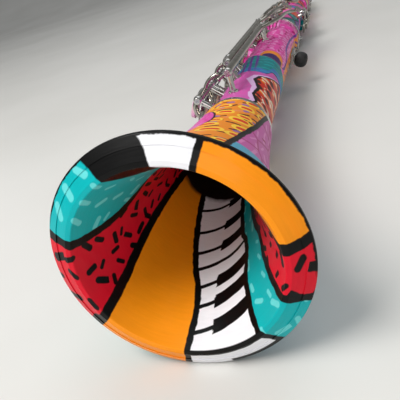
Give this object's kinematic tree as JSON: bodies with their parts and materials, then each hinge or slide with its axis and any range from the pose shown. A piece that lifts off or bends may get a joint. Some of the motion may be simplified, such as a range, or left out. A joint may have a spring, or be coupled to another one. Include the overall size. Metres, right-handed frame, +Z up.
{
  "type": "clarinet",
  "caption": "Soprano clarinet with hand-painted bell and joints, ringed sockets, plated keywork on posts, thumb rest, mouthpiece, reed and ligature.",
  "frame": {"origin": "on the bore's axis, in the plane of the bell's lip", "axes": "+Y up the bore, from the bell to the mouthpiece; +Z up as the clarinet lies on its side; the finger holes face -X and are turned 22 degrees up"},
  "size_m": [0.079, 0.6738, 0.079],
  "materials": {
    "bell_paint": "glossy varnish over hand-painted bands",
    "rim_paint": "glossy varnish over hand-painted bands",
    "lower_paint": "glossy varnish over hand-painted bands",
    "upper_paint": "glossy varnish over hand-painted bands",
    "barrel_paint": "glossy varnish over hand-painted bands",
    "plating": "polished nickel plating",
    "key_plating": "polished nickel plating",
    "painted_key": "painted, with pale strokes",
    "steel": "ground steel",
    "blued_steel": "blued",
    "ebonite": "polished hard rubber",
    "cane": "scraped cane",
    "cork": "natural cork",
    "rubber": "matt black rubber",
    "pad_skin": "thin pale skin over felt"
  },
  "bodies": {
    "clarinet_body": {"bell": "bell_paint", "bell_rim_ring": "rim_paint", "bell_socket_ring": "plating", "lower_joint": "lower_paint", "middle_socket_ring": "plating", "upper_joint": "upper_paint", "barrel": "barrel_paint", "barrel_rings": "plating", "mouthpiece": "ebonite", "reed": "cane", "ligature": "plating", "ligature_screws": "plating", "tenon_corks": "cork", "vent_tubes": "plating", "thumb_rest": "plating", "thumb_rest_screws": "plating", "thumb_rest_cushion": "rubber", "lower_joint_posts": "plating", "upper_joint_posts": "plating", "hinge_rods": "steel", "needle_springs": "blued_steel"},
    "low_e_key_body": {"low_e_key": "painted_key", "low_e_pad": "pad_skin"},
    "low_f_key_body": {"low_f_key": "key_plating", "low_f_pad": "pad_skin"},
    "f_sharp_key_body": {"f_sharp_key": "key_plating", "f_sharp_pad": "pad_skin"},
    "a_flat_key_body": {"a_flat_key": "key_plating", "a_flat_pad": "pad_skin"},
    "right_ring_key_body": {"right_ring_key": "key_plating", "right_ring_pad": "pad_skin"},
    "right_fork_key_body": {"right_fork_key": "key_plating", "right_fork_pad": "pad_skin"},
    "left_low_e_lever_body": {"left_low_e_lever": "key_plating"},
    "left_low_f_lever_body": {"left_low_f_lever": "key_plating"},
    "left_f_sharp_lever_body": {"left_f_sharp_lever": "key_plating"},
    "first_ring_key_body": {"first_ring_key": "key_plating", "first_ring_pad": "pad_skin"},
    "third_ring_key_body": {"third_ring_key": "key_plating", "third_ring_pad": "pad_skin"},
    "thumb_ring_key_body": {"thumb_ring_key": "key_plating", "thumb_ring_pad": "pad_skin"},
    "c_sharp_key_body": {"c_sharp_key": "key_plating", "c_sharp_pad": "pad_skin"},
    "left_fork_key_body": {"left_fork_key": "key_plating", "left_fork_pad": "pad_skin"},
    "g_sharp_key_body": {"g_sharp_key": "key_plating", "g_sharp_pad": "pad_skin"},
    "register_key_body": {"register_key": "key_plating", "register_pad": "pad_skin"},
    "throat_a_key_body": {"throat_a_key": "key_plating", "throat_a_pad": "pad_skin"},
    "trill_key_1_body": {"trill_key_1": "key_plating", "trill_pad_1": "pad_skin"},
    "trill_key_2_body": {"trill_key_2": "key_plating", "trill_pad_2": "pad_skin"},
    "trill_key_3_body": {"trill_key_3": "key_plating", "trill_pad_3": "pad_skin"},
    "trill_key_4_body": {"trill_key_4": "key_plating", "trill_pad_4": "pad_skin"}
  },
  "joints": [
    {"name": "low_e_key_hinge", "type": "hinge", "parent": "clarinet_body", "child": "low_e_key_body", "pos_m": [-0.01832, 0.1235, 0.01538], "axis": [0, 1, 0], "range_deg": [-12, 0], "stiffness_Nm_per_rad": 0.008, "springref_deg": 34.38},
    {"name": "low_f_key_hinge", "type": "hinge", "parent": "clarinet_body", "child": "low_f_key_body", "pos_m": [-0.01825, 0.1535, 0.01531], "axis": [0, 1, 0], "range_deg": [-12, 0], "stiffness_Nm_per_rad": 0.008, "springref_deg": 34.38},
    {"name": "f_sharp_key_hinge", "type": "hinge", "parent": "clarinet_body", "child": "f_sharp_key_body", "pos_m": [-0.01817, 0.1815, 0.01524], "axis": [0, 1, 0], "range_deg": [-12, 0], "stiffness_Nm_per_rad": 0.008, "springref_deg": 34.38},
    {"name": "a_flat_key_hinge", "type": "hinge", "parent": "clarinet_body", "child": "a_flat_key_body", "pos_m": [-0.01876, 0.198, -0.00835], "axis": [0, 1, 0], "range_deg": [-11, 0], "stiffness_Nm_per_rad": 0.008, "springref_deg": 34.38},
    {"name": "right_ring_key_hinge", "type": "hinge", "parent": "clarinet_body", "child": "right_ring_key_body", "pos_m": [-0.01824, 0.257, -0.0089], "axis": [0, 1, 0], "range_deg": [0, 9], "stiffness_Nm_per_rad": 0.008, "springref_deg": -34.38},
    {"name": "right_fork_key_hinge", "type": "hinge", "parent": "clarinet_body", "child": "right_fork_key_body", "pos_m": [-0.01344, 0.2718, 0.01391], "axis": [0, 1, 0], "range_deg": [-10, 0], "stiffness_Nm_per_rad": 0.008, "springref_deg": 34.38},
    {"name": "left_low_e_lever_hinge", "type": "hinge", "parent": "clarinet_body", "child": "left_low_e_lever_body", "pos_m": [-0.00174, 0.128, 0.02485], "axis": [0, 1, 0], "range_deg": [0, 14.4], "stiffness_Nm_per_rad": 0.004, "springref_deg": -34.38},
    {"name": "left_low_f_lever_hinge", "type": "hinge", "parent": "clarinet_body", "child": "left_low_f_lever_body", "pos_m": [-0.00807, 0.16, 0.02344], "axis": [0, 1, 0], "range_deg": [0, 14.4], "stiffness_Nm_per_rad": 0.004, "springref_deg": -34.38},
    {"name": "left_f_sharp_lever_hinge", "type": "hinge", "parent": "clarinet_body", "child": "left_f_sharp_lever_body", "pos_m": [-0.01309, 0.187, 0.02096], "axis": [0, 1, 0], "range_deg": [0, 14.4], "stiffness_Nm_per_rad": 0.004, "springref_deg": -34.38},
    {"name": "first_ring_key_hinge", "type": "hinge", "parent": "clarinet_body", "child": "first_ring_key_body", "pos_m": [-0.01769, 0.416, -0.00863], "axis": [0, 1, 0], "range_deg": [0, 9], "stiffness_Nm_per_rad": 0.008, "springref_deg": -34.38},
    {"name": "third_ring_key_hinge", "type": "hinge", "parent": "clarinet_body", "child": "third_ring_key_body", "pos_m": [-0.01783, 0.355, -0.0087], "axis": [0, 1, 0], "range_deg": [0, 9], "stiffness_Nm_per_rad": 0.008, "springref_deg": -34.38},
    {"name": "thumb_ring_key_hinge", "type": "hinge", "parent": "clarinet_body", "child": "thumb_ring_key_body", "pos_m": [0.01754, 0.426, 0.00638], "axis": [0, 1, 0], "range_deg": [0, 9], "stiffness_Nm_per_rad": 0.008, "springref_deg": -34.38},
    {"name": "c_sharp_key_hinge", "type": "hinge", "parent": "clarinet_body", "child": "c_sharp_key_body", "pos_m": [-0.00413, 0.354, 0.01942], "axis": [0, 1, 0], "range_deg": [0, 11], "stiffness_Nm_per_rad": 0.008, "springref_deg": -34.38},
    {"name": "left_fork_key_hinge", "type": "hinge", "parent": "clarinet_body", "child": "left_fork_key_body", "pos_m": [-0.01207, 0.388, 0.01439], "axis": [0, 1, 0], "range_deg": [-10, 0], "stiffness_Nm_per_rad": 0.008, "springref_deg": 34.38},
    {"name": "g_sharp_key_hinge", "type": "hinge", "parent": "clarinet_body", "child": "g_sharp_key_body", "pos_m": [-0.00272, 0.454, 0.01939], "axis": [0, 1, 0], "range_deg": [-11, 0], "stiffness_Nm_per_rad": 0.008, "springref_deg": 34.38},
    {"name": "register_key_hinge", "type": "hinge", "parent": "clarinet_body", "child": "register_key_body", "pos_m": [0.01766, 0.48, -0.00714], "axis": [-0.3746, 0, -0.9272], "range_deg": [0, 9], "stiffness_Nm_per_rad": 0.008, "springref_deg": -34.38},
    {"name": "throat_a_key_hinge", "type": "hinge", "parent": "clarinet_body", "child": "throat_a_key_body", "pos_m": [-0.01651, 0.472, 0.00953], "axis": [0.5, 0, 0.866], "range_deg": [0, 9], "stiffness_Nm_per_rad": 0.008, "springref_deg": -34.38},
    {"name": "trill_key_1_hinge", "type": "hinge", "parent": "clarinet_body", "child": "trill_key_1_body", "pos_m": [-0.01389, 0.458, -0.01341], "axis": [-0.6947, 0, 0.7193], "range_deg": [0, 3.2], "stiffness_Nm_per_rad": 0.008, "springref_deg": -34.38},
    {"name": "trill_key_2_hinge", "type": "hinge", "parent": "clarinet_body", "child": "trill_key_2_body", "pos_m": [-0.00753, 0.468, -0.01775], "axis": [-0.9205, 0, 0.3907], "range_deg": [0, 3], "stiffness_Nm_per_rad": 0.008, "springref_deg": -34.38},
    {"name": "trill_key_3_hinge", "type": "hinge", "parent": "clarinet_body", "child": "trill_key_3_body", "pos_m": [0, 0.442, -0.01935], "axis": [-1, 0, 0], "range_deg": [0, 3.8], "stiffness_Nm_per_rad": 0.008, "springref_deg": -34.38},
    {"name": "trill_key_4_hinge", "type": "hinge", "parent": "clarinet_body", "child": "trill_key_4_body", "pos_m": [0.00758, 0.421, -0.01786], "axis": [-0.9205, 0, -0.3907], "range_deg": [0, 3.4], "stiffness_Nm_per_rad": 0.008, "springref_deg": -34.38}
  ],
  "couplings": [
    {"joint": "left_low_e_lever_hinge", "follows": "low_e_key_hinge", "ratio": -1.2},
    {"joint": "left_low_f_lever_hinge", "follows": "low_f_key_hinge", "ratio": -1.2},
    {"joint": "left_f_sharp_lever_hinge", "follows": "f_sharp_key_hinge", "ratio": -1.2}
  ]
}
